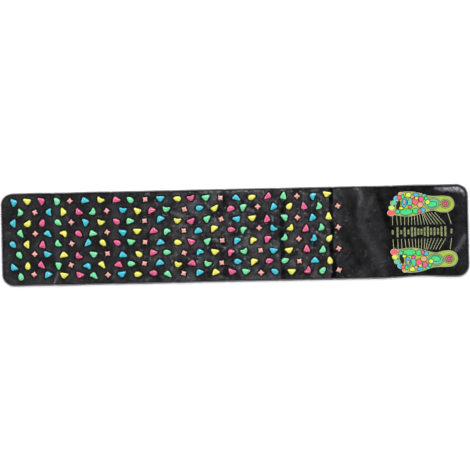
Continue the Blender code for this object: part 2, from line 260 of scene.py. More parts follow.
# How far the points of a layer keep from a hole and from a printed outline, and how far from a
# hole it has a ring of points
HOLE_MARGIN = 1.5 * MM
PRINT_MARGIN = 0.6 * MM
HOLE_RING = 1.0 * MM
# How far from a seam a layer has more points, and how far the others keep from it
SEAM_POINTS = 0.3 * MM
SEAM_MARGIN = 0.8 * MM
# Points closer than this are one
SAME_PLACE = 1e-6
# The tape's rounded fold, its sewn groove, and where its fold's painted highlight fades out
TAPE_ROLL = 3.8 * MM
STITCH_INSET = 5 * MM
GROOVE_DEPTH = 0.22 * MM
TAPE_FOLD_HIGHLIGHT = (3.4 * MM, 4.8 * MM)
# The photograph: its side and scale in pixels, and where the mat's middle lies and how it tilts
PHOTO_SIDE = 470
PIXELS_PER_METRE = 266.4
PHOTO_MIDDLE = (234.8, 234.9)
PHOTO_TILT = math.radians(1.24)
# Soft lights: name, place, width, height and power
SOFTBOXES = (
    ("softbox_left", (-3.2, 0.9, 2.6), 1.6, 2.4, 34),
    ("softbox_right", (3.4, 0.4, 2.6), 1.6, 2.4, 25),
    ("softbox_far", (0.15, 1.95, 3.0), 1.3, 0.6, 40),
    ("softbox_near", (0.15, -2.05, 3.0), 1.3, 0.6, 25),
)


def length_property(name, description, value):
    """A size that the sidebar shows."""
    return FloatProperty(name=name, description=description, default=value, unit="LENGTH")


def colour_property(name, description, value):
    """A colour that the sidebar shows."""
    return FloatVectorProperty(
        name=name, description=description, default=value, subtype="COLOR", min=0, max=1)


class MatSizes(bpy.types.PropertyGroup):
    """Sizes of the mat's parts that the frame doesn't give."""
    corner_radius: length_property("Corner Radius", "Radius of the mat's four corners", 45 * MM)
    tape_lip: length_property(
        "Tape Lip", "How far the binding tape reaches in over the cover", 7 * MM)
    tape_thickness: length_property("Tape Thickness", "Thickness of the binding tape", 0.8 * MM)
    pebble_length: length_property(
        "Pebble Length", "Longest side of the triangles, eggs and half-moons", 39 * MM)
    pebble_width: length_property("Pebble Width", "Shortest side of the wide pebbles", 26.8 * MM)
    star_size: length_property("Star Size", "Width of a star from point to point", 30 * MM)
    hole_clearance: length_property(
        "Hole Clearance", "Gap between a pebble and its punched hole", 0.3 * MM)
    crown_rise: length_property(
        "Crown Rise", "Height of a pebble's rounded crown above its side", 3.5 * MM)
    bare_side: length_property(
        "Bare Side", "Strip along each side that the pebble rows leave free", 15 * MM)
    bare_left: length_property(
        "Bare Left End", "Strip at the left end that the pebbles leave free", 33.5 * MM)
    bare_right: length_property(
        "Bare Part", "Part of the last pebbled panel that the pebbles leave free", 190 * MM)
    crease_margin: length_property(
        "Crease Margin", "Least distance from a crease to a punched hole", 2.3 * MM)
    layer_inset: length_property(
        "Layer Inset", "Distance from the mat's edge to the layers inside the tape", 1.6 * MM)
    wrinkle_height: length_property(
        "Wrinkle Height", "Height of the leather's fine wrinkles", 1.6 * MM)
    wrinkle_size: length_property(
        "Wrinkle Size", "Distance from one fine wrinkle to the next", 34 * MM)
    stitch_pitch: length_property(
        "Stitch Pitch", "Distance from one binding stitch to the next", 4.2 * MM)
    stitch_length: length_property("Stitch Length", "Length of one binding stitch", 3.1 * MM)
    stitch_radius: length_property("Thread Radius", "Radius of the sewing thread", 0.3 * MM)


class MatColours(bpy.types.PropertyGroup):
    """Base colours of the mat's finishes."""
    leather: colour_property("Leather", "PVC leather of the cover", (0.0070, 0.0069, 0.0076))
    tape: colour_property("Tape", "Binding tape", (0.0060, 0.0060, 0.0066))
    thread: colour_property("Thread", "Sewing thread", (0.0100, 0.0100, 0.0110))
    foam: colour_property("Foam", "Foam pad", (0.060, 0.060, 0.062))
    backing: colour_property("Backing", "Anti-slip backing", (0.020, 0.020, 0.022))
    blue: colour_property("Blue", "Blue pebbles", (0.038, 0.47, 0.60))
    yellow: colour_property("Yellow", "Yellow pebbles", (0.74, 0.73, 0.115))
    pink: colour_property("Pink", "Pink pebbles", (0.665, 0.098, 0.23))
    green: colour_property("Green", "Green pebbles", (0.158, 0.655, 0.322))
    star: colour_property("Star", "Star pebbles", (0.735, 0.335, 0.305))
    ink_lime: colour_property("Lime Ink", "Printed ground of the soles", (0.39, 0.54, 0.055))
    ink_line: colour_property("Line Ink", "Printed outlines and lines", (0.60, 0.66, 0.36))
    ink_tag: colour_property("Tag Ink", "Printed ground of the numbered tags", (0.245, 0.285, 0.13))
    ink_dark: colour_property("Dark Ink", "Printed rims of the zones", (0.012, 0.014, 0.02))
    ink_red: colour_property("Red Ink", "Printed red", (0.84, 0.125, 0.17))
    ink_yellow: colour_property("Yellow Ink", "Printed yellow", (0.65, 0.76, 0.09))
    ink_teal: colour_property("Teal Ink", "Printed teal", (0.10, 0.59, 0.34))
    ink_blue: colour_property("Blue Ink", "Printed blue", (0.065, 0.47, 0.78))
    ink_salmon: colour_property("Salmon Ink", "Printed salmon", (0.73, 0.37, 0.22))
    ink_pink: colour_property("Pink Ink", "Printed pink", (0.84, 0.12, 0.29))
    ink_leaf: colour_property("Leaf Ink", "Printed green", (0.07, 0.66, 0.21))
    floor: colour_property("Floor", "Studio floor", (0.96, 0.96, 0.96))


def sizes():
    """The sidebar's sizes."""
    return bpy.context.scene.mat_sizes


def colours():
    """The sidebar's colours."""
    return bpy.context.scene.mat_colours


# Noise and folds of the leather

LATTICE = np.random.RandomState(11).permutation(256)


def smooth_step(low, high, value):
    """0 up to low, 1 from high on, and a smooth rise between them."""
    share = np.clip((value - low) / (high - low), 0, 1)
    return share * share * (3 - 2 * share)


def gradient_noise(x, y, cell, seed):
    """Smooth noise from about -1 to 1, with features about as wide as cell."""
    u = x / cell + 17.3 * seed
    v = y / cell - 9.1 * seed
    column = np.floor(u).astype(int)
    row = np.floor(v).astype(int)
    u = u - column
    v = v - row

    def corner(right, up):
        """What one corner of each place's lattice square gives."""
        key = LATTICE[(column + right + seed) & 255]
        angle = LATTICE[(key + row + up) & 255] * (math.tau / 256)
        return np.cos(angle) * (u - right) + np.sin(angle) * (v - up)

    across = u * u * u * (u * (u * 6 - 15) + 10)
    along = v * v * v * (v * (v * 6 - 15) + 10)
    low = corner(0, 0) * (1 - across) + corner(1, 0) * across
    high = corner(0, 1) * (1 - across) + corner(1, 1) * across
    return (low * (1 - along) + high * along) * 1.5


def segment_distance(x, y, ax, ay, run, rise):
    """Distance of each place from a straight line that starts at (ax, ay)."""
    square = max(run * run + rise * rise, 1e-18)
    share = np.clip(((x - ax) * run + (y - ay) * rise) / square, 0, 1)
    return np.hypot(x - ax - share * run, y - ay - share * rise)


def line_distance(x, y, points):
    """Distance of each place from a line through the points."""
    return np.min([
        segment_distance(x, y, ax, ay, bx - ax, by - ay)
        for (ax, ay), (bx, by) in zip(points[:-1], points[1:])
    ], axis=0)


def edge_distance(x, y):
    """Distance of each place inward from the mat's own edge."""
    radius = sizes().corner_radius
    along = np.abs(x) - (RIGHT_END - radius)
    across = np.abs(y) - (SIDE - radius)
    outside = np.hypot(np.maximum(along, 0), np.maximum(across, 0))
    inside = np.minimum(np.maximum(along, across), 0)
    return radius - (outside + inside)


def hump(value, middle, width):
    """1 at the middle, and fading to almost 0 at two widths from it."""
    return np.exp(-(((value - middle) / width) ** 2))


def leather_relief(x, y):
    """How far the cover's face stands above its flat height, and its painted highlight and shade."""
    size = sizes()
    cell = size.wrinkle_size
    warp_x = x + cell * 0.55 * gradient_noise(x, y, cell * 1.7, 3)
    warp_y = y + cell * 0.55 * gradient_noise(x, y, cell * 1.7, 4)
    ridge = 1 - np.abs(gradient_noise(warp_x, warp_y, cell, 5)) * 1.7
    fine = 1 - np.abs(gradient_noise(warp_x, warp_y, cell * 0.45, 6)) * 2.2
    patchy = smooth_step(-0.35, 0.45, gradient_noise(x, y, cell * 2.2, 7))
    middle = smooth_step(*WRINKLES_START, x) * (1 - smooth_step(*BARE_START, x))
    wrinkles = (np.maximum(ridge, 0) ** 2 + 0.3 * np.maximum(fine, 0) ** 2) * patchy
    wrinkles *= 0.25 + 0.75 * middle - 0.1 * smooth_step(0.38, 0.44, x)
    lift = size.wrinkle_height * wrinkles + 0.6 * MM * gradient_noise(x, y, 0.11, 8)
    # Painted highlights along the wrinkles' ridges
    worn = 0.42 * wrinkles
    # Each fold lifts the cover and adds painted highlight along it; a negative value adds painted shade
    for height, half_width, sheen_and_shade_share, points in LONG_FOLDS:
        fold = hump(line_distance(x / MM, y / MM, points), 0, half_width)
        lift += height * MM * fold
        worn += sheen_and_shade_share * fold
    for number, crease in enumerate(CREASES):
        depth = LAST_CREASE_DEPTH if number == len(CREASES) - 1 else CREASE_DEPTH
        lift += (depth if number % 2 else -depth) * hump(x, crease, 5 * MM)

    # Puckers with painted highlights, and a band of painted shadow beside the tape
    inward = edge_distance(x, y)
    along = np.where(np.abs(y) > SIDE - 0.03, x, y)
    pucker = np.maximum(gradient_noise(along, inward * 0.3, 9 * MM, 9), 0)
    pucker *= hump(inward, *PUCKERS)
    lift += 0.4 * MM * pucker
    worn += 0.12 * pucker
    # Painted shadow beside the tape, left off along the near edge
    groove = hump(inward, *TAPE_SHADOW) * smooth_step(-0.16, -0.14, y)
    worn = worn * (1 - groove) - 0.6 * groove
    lift = np.maximum(lift, -0.25 * MM)
    return lift * smooth_step(6 * MM, 14 * MM, inward), np.minimum(worn, 2.2)


def settled(places):
    """Points after the long edges have drawn in unevenly and the ends have crept out, as an array."""
    places = np.array(places)
    x, y = places[:, 0], places[:, 1]
    wander = gradient_noise(x, y * 0, 0.13, 21)
    far_pull = FAR_PULL[0] + FAR_PULL[1] * wander
    near_pull = NEAR_PULL[0] + NEAR_PULL[1] * wander + CHART_DIP * hump(x, 0.70, 0.09)
    pull = np.where(y > 0, far_pull, near_pull)
    for crease in CREASES:
        pull += CREASE_DIP * hump(x, crease, 6 * MM)
    share = smooth_step(SIDE - 17 * MM, SIDE, np.abs(y))
    creep = END_CREEP[1] * smooth_step(0.76, RIGHT_END, x)
    creep -= END_CREEP[0] * smooth_step(0.835, -LEFT_END, -x)
    places[:, 1] -= np.sign(y) * pull * MM * share
    places[:, 0] += creep * MM
    return places


# Outlines of pebbles and of the mat

def rounded_outline(corners, steps):
    """Anticlockwise outline of (x, y, radius) corners, each an arc; radius 0 is a plain point."""
    points = []
    for i, (x, y, radius) in enumerate(corners):
        here = Vector((x, y))
        to_last = (Vector(corners[i - 1][:2]) - here).normalized()
        to_next = (Vector(corners[(i + 1) % len(corners)][:2]) - here).normalized()
        if radius == 0:
            points.append(here)
            continue
        half = to_last.angle(to_next) / 2
        centre = here + (to_last + to_next).normalized() * radius / math.sin(half)
        first = (here + to_last * radius / math.tan(half) - centre).normalized()
        last = (here + to_next * radius / math.tan(half) - centre).normalized()
        for step in range(steps + 1):
            points.append(centre + first.slerp(last, step / steps) * radius)
    return points


def circle(count, first=0.0):
    """Points of a circle of radius 1, as (x, y), the first a share of a step round from +X."""
    angles = (math.tau * (i + first) / count for i in range(count))
    return [(math.cos(angle), math.sin(angle)) for angle in angles]


def egg_outline():
    """An ellipse that narrows towards its upper end."""
    return [Vector((x * (1 - 0.3 * y), y)) for x, y in circle(30, 0.5)]


def star_outline():
    """Four blunt points with hollow sides between them."""
    corners = []
    for i in range(4):
        for reach, turn, radius in ((10, 0, 2.2), (5.5, math.tau / 8, 1.8)):
            angle = math.tau * i / 4 + turn
            corners.append((reach * math.cos(angle), reach * math.sin(angle), radius))
    points = []
    for i, (x, y, radius) in enumerate(corners):
        here = Vector((x, y))
        last = Vector(corners[i - 1][:2])
        following = Vector(corners[(i + 1) % 8][:2])
        start = here + (last - here).normalized() * radius
        stop = here + (following - here).normalized() * radius
        for step in range(4):
            share = step / 3
            low = start.lerp(here, share)
            points.append(low.lerp(here.lerp(stop, share), share))
    return points


def extent(points):
    """Least and greatest X of an outline, then least and greatest Y."""
    xs = [p.x for p in points]
    ys = [p.y for p in points]
    return min(xs), max(xs), min(ys), max(ys)


def sized_outline(points, width, length):
    """The outline centred on its own box and stretched to a width and a length."""
    left, right, low, high = extent(points)
    return [
        Vector((((p.x - left) / (right - left) - 0.5) * width,
                ((p.y - low) / (high - low) - 0.5) * length))
        for p in points
    ]


def pebble_outlines():
    """Outline of each shape, its tip or its belly towards the far edge."""
    size = sizes()
    length, width = size.pebble_length, size.pebble_width
    corners_and_size = {
        "T": (((-1, 22, 4.5), (-15, -12, 6.5), (13, -14, 5)), width * 1.12, length * 0.91),
        "W": (((1, 15, 8), (-20, -11, 4), (19, -12, 4.5)), length, width),
        "K": (((-6, 15, 7.5), (-19, -9, 4.5), (20, -13, 4)), length, width),
        "H": (((2, 15, 14), (-19, -10, 4), (19, -9, 4.5)), length * 0.95, width),
        "C": (((1, 15, 11), (-18, -12, 3.5), (1, -7, 14), (19, -10, 3.5)), length * 0.92, width),
    }
    outlines = {
        letter: sized_outline(rounded_outline(corners, 7), *size_of_shape)
        for letter, (corners, *size_of_shape) in corners_and_size.items()
    }
    outlines["M"] = [Vector((-p.x, p.y)) for p in reversed(outlines["K"])]
    outlines["E"] = sized_outline(egg_outline(), width * 0.96, length * 0.93)
    outlines["S"] = sized_outline(star_outline(), size.star_size, size.star_size)
    return outlines


def offset_outline(points, distance):
    """The outline moved outward by distance, with mitred corners."""
    moved = []
    for i, here in enumerate(points):
        before = (here - points[i - 1]).normalized()
        after = (points[(i + 1) % len(points)] - here).normalized()
        first = Vector((before.y, -before.x))
        second = Vector((after.y, -after.x))
        moved.append(here + (first + second) * distance / (1 + first.dot(second)))
    return moved


def scaled_outline(points, share):
    """The outline drawn in towards the middle of its points."""
    middle = sum(points, Vector((0, 0))) / len(points)
    return [middle + (p - middle) * share for p in points]


def column_places():
    """X of each half column, spread evenly over its panel, with the panel's number."""
    size = sizes()
    places = []
    for number, count in enumerate(PANEL_COLUMNS, start=1):
        left, right = EDGES[number - 1], EDGES[number]
        if number == 1:
            left += size.bare_left
        if number == len(PANEL_COLUMNS):
            right -= size.bare_right
        pitch = (right - left) / count
        places += [(number, left + (i + 0.5) * pitch) for i in range(count)]
    return places


def lay_out_pebbles():
    """Every pebble as (panel, colour name, shape letter, turn, x, y, outline in place)."""
    size = sizes()
    shapes = pebble_outlines()
    columns = column_places()
    pitch = (2 * SIDE - 2 * size.bare_side) / len(PEBBLE_ROWS)
    pebbles = []
    for row, words in enumerate(PEBBLE_ROWS):
        y = ((len(PEBBLE_ROWS) - 1) / 2 - row) * pitch
        odd = row % 2
        for i, word in enumerate(words.split()):
            number, x = columns[2 * i + odd]
            name = COLOUR_CYCLE[(i + odd * ODD_ROW_START) % len(COLOUR_CYCLE)]
            turn = -int(word[1:].rstrip("lrud")) * TURN_STEP
            rotation = Matrix.Rotation(turn, 2)
            place = Vector((
                x + NUDGE * (word.count("r") - word.count("l")),
                y + NUDGE * (word.count("u") - word.count("d"))))
            outline = [rotation @ p + place for p in shapes[word[0]]]
            left, right, *_ = extent(offset_outline(outline, size.hole_clearance))
            slide = max(EDGES[number - 1] + size.crease_margin - left, 0)
            slide -= max(right - (EDGES[number] - size.crease_margin), 0)
            outline = [p + Vector((slide, 0)) for p in outline]
            pebbles.append((number, name, word[0], turn, place.x + slide, place.y, outline))
    return pebbles


def smooth_loop(points, steps=4):
    """A closed smooth curve through the points."""
    curve = []
    count = len(points)
    for i in range(count):
        a, b, c, d = (Vector(points[(i + k) % count]) for k in (-1, 0, 1, 2))
        for step in range(steps):
            t = step / steps
            curve.append(0.5 * (
                2 * b + (c - a) * t + (2 * a - 5 * b + 4 * c - d) * t ** 2
                + (3 * b - a - 3 * c + d) * t ** 3))
    return curve


def oval(along, across, half_along, half_across, turn, grow=0):
    """Outline of a printed round zone, made larger all round by grow."""
    rotation = Matrix.Rotation(math.radians(turn), 2)
    middle = Vector((along, across))
    half_along += grow
    half_across += grow
    return [middle + rotation @ Vector((half_along * x, half_across * y)) for x, y in circle(18)]


def bar(start, stop, width):
    """Outline of a printed straight line, with square ends."""
    start, stop = Vector(start), Vector(stop)
    ahead = (stop - start).normalized() * (width / 2)
    side = Vector((-ahead.y, ahead.x))
    return [start - ahead - side, stop + ahead - side, stop + ahead + side, start - ahead + side]


def anticlockwise(outline):
    """The outline in anticlockwise order."""
    area = sum(a.cross(b) for a, b in zip(outline, outline[1:] + outline[:1]))
    return outline if area > 0 else outline[::-1]


def sole_prints(middle_x, middle_y, mirror):
    """Printed outlines of one sole, each with its ink, in the order of printing."""
    sole = anticlockwise(smooth_loop(SOLE_OUTLINE))
    prints = [("dark", offset_outline(sole, 2.6))]
    prints += [("dark", oval(*place, grow=2.4)) for _, *place in TOES]
    for ink, distance in (("line", 1.2), ("dark", -0.6), ("lime", -1.8)):
        prints.append((ink, offset_outline(sole, distance)))
    for zones, rim_ink, rim_width in ((TOES, "line", 1), (ZONES, "dark", 2.2)):
        for ink, *place in zones:
            prints.append((rim_ink, oval(*place, grow=rim_width)))
            prints.append((ink, oval(*place)))
    return [
        (ink, [Vector((middle_x + p.x, middle_y + mirror * p.y)) for p in outline])
        for ink, outline in prints
    ]


def number_strokes(number, x, y):
    """Outlines of a number's strokes, its top towards the toes."""
    height, width, gap = 2.3, 2.0, 1.3
    digits = str(number)
    start = y - (len(digits) * width + (len(digits) - 1) * gap) / 2
    strokes = []
    for place, digit in enumerate(digits):
        left = start + place * (width + gap)
        for letter in DIGITS[int(digit)]:
            a, b = (
                (x + height - up * height, left + right * width)
                for right, up in STROKES[letter]
            )
            strokes.append(bar(a, b, STROKE_WIDTH))
    return strokes


def chart_prints():
    """Everything printed on the bare end, as (ink, outline), in metres."""
    prints = []
    for x, _, lean in TAGS:
        for (start, stop), reach in ((FAR_LINES, -lean), (NEAR_LINES, 3 - lean * 0.7)):
            prints.append(("line", bar((x, start), (x + reach, stop), LINE_WIDTH)))
    for sole in SOLES:
        prints += sole_prints(*sole)
    for number, (x, half, _) in enumerate(TAGS, start=1):
        reach = half - TAG_WIDTH / 2
        tag = bar((x, TAG_MIDDLE - reach), (x, TAG_MIDDLE + reach), TAG_WIDTH)
        prints.append(("tag", tag))
        prints += [("bare", stroke) for stroke in number_strokes(number, x, TAG_MIDDLE)]
    return [(ink, [p * MM for p in anticlockwise(outline)]) for ink, outline in prints]


def evenly(low, high, step):
    """Values from low to high, at most step apart."""
    return list(np.linspace(low, high, max(2, math.ceil((high - low) / step) + 1)))


def bend_reach(number):
    """Half the width of the strip that bends at a crease, counted from 0."""
    return LAST_BEND_REACH if number == len(CREASES) - 1 else BEND_REACH


def station_list(low, high, step):
    """X values along the mat from low to high: evenly spread, close together at creases and seams."""
    values = set(evenly(low, high, step))
    for number, crease in enumerate(CREASES):
        reach = bend_reach(number)
        values = {x for x in values if abs(x - crease) > reach * 1.15}
        values |= {crease + reach * share for share in np.linspace(-1, 1, 15)}
    for seam in SEAMS:
        values = {x for x in values if abs(x - seam) > SEAM_MARGIN}
        values |= {seam - SEAM_POINTS, seam, seam + SEAM_POINTS}
    return sorted(x for x in values if low - 1e-7 <= x <= high + 1e-7)


def mat_edge(low, high, step):
    """The mat's own edge between two X values, as open chains of (point, inward normal)."""
    radius = sizes().corner_radius
    stations = station_list(max(low, LEFT_END + radius), min(high, RIGHT_END - radius), step)
    near = [(Vector((x, -SIDE)), Vector((0, 1))) for x in stations]
    far = [(Vector((x, SIDE)), Vector((0, -1))) for x in reversed(stations)]

    def corner(centre_x, centre_y, start):
        """The points of a rounded corner, but not its first and last."""
        chain = []
        for i in range(1, CORNER_STEPS):
            angle = start + math.pi / 2 * i / CORNER_STEPS
            out = Vector((math.cos(angle), math.sin(angle)))
            chain.append((Vector((centre_x, centre_y)) + out * radius, -out))
        return chain

    def end(x, normal, low_y, high_y):
        """The straight part of an end."""
        return [(Vector((x, y)), normal) for y in evenly(low_y, high_y, step)]

    inner = SIDE - radius
    if low <= LEFT_END + SAME_PLACE:
        corner_x = LEFT_END + radius
        turn = corner(corner_x, inner, math.pi / 2)
        turn += end(LEFT_END, Vector((1, 0)), -inner, inner)[::-1]
        turn += corner(corner_x, -inner, math.pi)
        return [far + turn + near]
    if high >= RIGHT_END - SAME_PLACE:
        corner_x = RIGHT_END - radius
        turn = corner(corner_x, -inner, -math.pi / 2)
        turn += end(RIGHT_END, Vector((-1, 0)), -inner, inner)
        turn += corner(corner_x, inner, 0)
        return [near + turn + far]
    return [near, far]


# Meshes

def add_object(name, data):
    """A new object at the scene's origin."""
    obj = bpy.data.objects.new(name, data)
    bpy.context.scene.collection.objects.link(obj)
    return obj


def make_object(name, verts, faces, material, sharp=None):
    """A mesh object, smooth up to an angle of sharp degrees, or flat without one."""
    mesh = bpy.data.meshes.new(name)
    mesh.from_pydata([tuple(v) for v in verts], [], faces)
    mesh.validate()
    if sharp:
        mesh.shade_smooth()
        mesh.set_sharp_from_angle(angle=math.radians(sharp))
    mesh.materials.append(material)
    return add_object(name, mesh)


def set_values(mesh, name, domain, values, kind="FLOAT"):
    """Write a named value for each point or face of a mesh."""
    mesh.attributes.new(name, kind, domain).data.foreach_set("value", values)


def thicken(top, faces, thickness):
    """A closed body from a sheet's upper face: the same face below it, and walls round its edges."""
    count = len(top)
    low = top.copy()
    low[:, 2] -= thickness
    edges = dict.fromkeys(edge for face in faces for edge in zip(face, face[1:] + face[:1]))
    walls = [(b, a, a + count, b + count) for a, b in edges if (b, a) not in edges]
    under = [tuple(i + count for i in reversed(face)) for face in faces]
    return np.vstack((top, low)), [*faces, *under, *walls]


def flat_area(points, faces):
    """Area of flat triangles, seen from above."""
    total = 0.0
    for face in faces:
        a, b, c = (points[i] for i in face)
        total += abs((b[0] - a[0]) * (c[1] - a[1]) - (b[1] - a[1]) * (c[0] - a[0])) / 2
    return total


def inside_outline(x, y, outline):
    """True where a place lies in the outline, and its distance from the outline."""
    inside = np.zeros(x.shape, bool)
    near = np.full(x.shape, 1e9)
    for a, b in zip(outline, outline[1:] + outline[:1]):
        run, rise = b.x - a.x, b.y - a.y
        crosses = (a.y > y) != (b.y > y)
        inside ^= crosses & (x < run * (y - a.y) / (rise or 1e-12) + a.x)
        near = np.minimum(near, segment_distance(x, y, a.x, a.y, run, rise))
    return inside, near


def close_places(x, y, outline, margin):
    """Numbers of the places near an outline's box, which are inside it, and how far they are."""
    left, right, low, high = extent(outline)
    close = (x > left - margin) & (x < right + margin) & (y > low - margin) & (y < high + margin)
    found = np.nonzero(close)[0]
    return found, *inside_outline(x[found], y[found], outline)


def hole_shade(x, y, holes):
    """1 at the edge of a punched hole, fading to 0 within HOLE_SHADE of it."""
    darkness = np.zeros(x.shape)
    for hole in holes:
        found, _, near = close_places(x, y, hole, HOLE_SHADE)
        fade = 1 - smooth_step(0.4 * HOLE_SHADE, HOLE_SHADE, near)
        darkness[found] = np.maximum(darkness[found], fade)
    return darkness


def grid_points(inset, holes, step, outlines):
    """Points spread over a layer, clear of its edge, its holes and the printed outlines."""
    xs, ys = np.meshgrid(station_list(LEFT_END, RIGHT_END, step), evenly(-SIDE, SIDE, step))
    xs, ys = xs.ravel(), ys.ravel()
    keep = edge_distance(xs, ys) > inset + 0.45 * step
    for hole in holes:
        found, inside, near = close_places(xs, ys, hole, HOLE_MARGIN)
        keep[found[inside | (near < HOLE_MARGIN)]] = False
    for outline in outlines:
        found, _, near = close_places(xs, ys, outline, PRINT_MARGIN)
        keep[found[near < PRINT_MARGIN]] = False
    return [Vector((x, y)) for x, y in zip(xs[keep], ys[keep])]


def cut_sheet(inset, holes, step, prints=()):
    """Flat triangles of a layer: points, faces, which points edge a hole, and each face's ink.

    The outline is the mat's own, moved inward by inset, and each seam is a line of edges.
    """
    border = [place + normal * inset for place, normal in whole_edge(step)]
    outlines = [outline for _, outline in prints]
    points = []
    edges = []
    rings = []
    for loop in (border, *holes, *outlines):
        ring = list(range(len(points), len(points) + len(loop)))
        rings.append(ring)
        edges += zip(ring, ring[1:] + ring[:1])
        points += loop
    points += grid_points(inset, holes, step, outlines)
    for hole in holes:
        points += offset_outline(hole, HOLE_RING)
    for seam in SEAMS:
        line = [Vector((seam, y)) for y in evenly(-SIDE + inset, SIDE - inset, step)]
        first = len(points)
        points += line
        edges += [(i, i + 1) for i in range(first, len(points) - 1)]
    points, _, triangles, point_origins, _, face_origins = geometry.delaunay_2d_cdt(
        points, edges, rings, 0, 1e-7)
    faces = []
    inks = []
    for face, origin in zip(triangles, face_origins):
        if 0 not in origin or any(0 < i <= len(holes) for i in origin):
            continue
        print_number = max(origin) - 1 - len(holes)
        faces.append(tuple(face))
        inks.append(INKS.index(prints[print_number][0]) if print_number >= 0 else 0)
    hole_end = len(border) + sum(len(hole) for hole in holes)
    rim = [i for i, origin in enumerate(point_origins)
           if any(len(border) <= o < hole_end for o in origin)]
    return points, faces, rim, inks


def whole_edge(step):
    """The mat's own edge all round, anticlockwise, as (point, inward normal)."""
    kept = []
    for place, normal in mat_edge(LEFT_END, 0, step)[0] + mat_edge(0, RIGHT_END, step)[0]:
        if not kept or (place - kept[-1][0]).length > SAME_PLACE:
            kept.append((place, normal))
    if (kept[0][0] - kept[-1][0]).length < SAME_PLACE:
        kept.pop()
    return kept


def span_parts(points, faces):
    """The sheet divided at its seams: for each span, its points, faces and the faces' numbers."""
    parts = [[] for _ in SPANS]
    for index, face in enumerate(faces):
        middle = sum(points[i].x for i in face) / len(face)
        parts[sum(middle > seam for seam in SEAMS)].append(index)
    result = []
    for part in parts:
        used = sorted({i for index in part for i in faces[index]})
        place = {old: new for new, old in enumerate(used)}
        result.append((used, [tuple(place[i] for i in faces[index]) for index in part], part))
    return result


def bend(piece, number):
    """Bake the piece's place into its mesh; the bend reach of the crease is looked up but not used."""
    reach = bend_reach(number)
    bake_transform(piece)


def layer_pieces(name, points, faces, top, thickness, materials):
    """A layer's new pieces: number of the span, piece, its points and faces, and its area."""
    for number, (used, part, numbers) in enumerate(span_parts(points, faces)):
        verts, closed = thicken(top[used], part, thickness)
        piece = make_object(f"{name}_{number + 1}", verts, closed, materials[number], sharp=50)
        yield number, piece, used, numbers, flat_area(top[used], part)


def plain_layer_pieces(name, inset, high, low, material):
    """The new pieces of a layer under the cover, which has no holes and no relief."""
    points, faces, *_ = cut_sheet(inset, [], LAYER_STEP)
    top = settled([(p.x, p.y, high) for p in points])
    return layer_pieces(name, points, faces, top, high - low, [material] * len(SPANS))


def lay_sheet(piece, number, inset, area):
    """Look up the piece's span; nothing more is done."""
    left, right = SPANS[number]


def ring_walls(count, rings):
    """Faces between rings of count points each, one after the other."""
    walls = []
    for start in range(0, (rings - 1) * count, count):
        for i in range(count):
            j = (i + 1) % count
            walls.append((start + i, start + j, start + count + j, start + count + i))
    return walls


def binding_nodes(panel):
    """The frame's binding nodes on a panel: one round an end, or a near and a far one."""
    if panel in (1, len(SPANS) + 1):
        return [f"binding_{panel}"]
    return [f"binding_{panel}_near", f"binding_{panel}_far"]


def binding_runs():
    """Runs of the binding: number of the span, end of the name, frame nodes, and mat's edge."""
    for number, (left, right) in enumerate(SPANS):
        nodes = binding_nodes(number + 1) + binding_nodes(number + 2)
        chains = mat_edge(left, right, TAPE_STEP)
        if len(chains) == 1:
            yield number, "", nodes, chains[0]
        else:
            yield number, "_near", nodes[::2], chains[0]
            yield number, "_far", nodes[1::2], chains[1]


def evaluated_mesh(obj):
    """Turn an object's modifiers into a plain mesh."""
    depsgraph = bpy.context.evaluated_depsgraph_get()
    mesh = bpy.data.meshes.new_from_object(obj.evaluated_get(depsgraph))
    obj.modifiers.clear()
    obj.data = mesh


# Node trees

class Nodes:
    """Adds nodes to a tree."""

    def __init__(self, tree):
        self.tree = tree

    def feed(self, socket, value):
        """Link an output to a socket, or give the socket a plain value."""
        if isinstance(value, bpy.types.NodeSocket):
            self.tree.links.new(value, socket)
        else:
            socket.default_value = value

    def feed_named(self, node, inputs):
        """Feed inputs of a node by their names, a _ for each space."""
        for name, value in inputs.items():
            self.feed(node.inputs[name.replace("_", " ")], value)

    def node(self, kind, settings=None, **inputs):
        """A new node with its settings and inputs."""
        node = self.tree.nodes.new(kind)
        for name, value in (settings or {}).items():
            setattr(node, name, value)
        self.feed_named(node, inputs)
        return node

    def add(self, kind, settings=None, **inputs):
        """Outputs of a new node."""
        return self.node(kind, settings, **inputs).outputs

    def maths(self, operation, *values):
        """The result of one operation."""
        node = self.node("ShaderNodeMath", {"operation": operation})
        for socket, value in zip(node.inputs, values):
            self.feed(socket, value)
        return node.outputs[0]

    def ranged(self, value, low, high, to_low=0.0, to_high=1.0):
        """The value, carried smoothly from one range to another."""
        return self.add(
            "ShaderNodeMapRange", {"interpolation_type": "SMOOTHSTEP"}, Value=value,
            From_Min=low, From_Max=high, To_Min=to_low, To_Max=to_high)[0]


class GeometryTree(Nodes):
    """A geometry node tree with named inputs."""

    def __init__(self, name, **inputs):
        super().__init__(bpy.data.node_groups.new(name, "GeometryNodeTree"))
        sockets = self.tree.interface
        for label, kind in inputs.items():
            sockets.new_socket(label, in_out="INPUT", socket_type=f"NodeSocket{kind}")
        sockets.new_socket("Geometry", in_out="OUTPUT", socket_type="NodeSocketGeometry")
        self.source = self.add("NodeGroupInput")
        self.sink = self.node("NodeGroupOutput").inputs[0]

    def finish(self, geometry_socket):
        """The tree, closed by its last two nodes: real copies, then their finish."""
        real = self.add("GeometryNodeRealizeInstances", Geometry=geometry_socket)
        done = self.add("GeometryNodeSetMaterial", Geometry=real[0], Material=self.source["Finish"])
        self.feed(self.sink, done[0])
        return self.tree


def run_tree(obj, tree, values):
    """Evaluate a node tree on an object, with its inputs set by their identifiers."""
    modifier = obj.modifiers.new(tree.name, "NODES")
    modifier.node_group = tree
    for item in tree.interface.items_tree:
        if item.item_type == "SOCKET" and item.in_out == "INPUT" and item.name in values:
            modifier[item.identifier] = values[item.name]
    evaluated_mesh(obj)


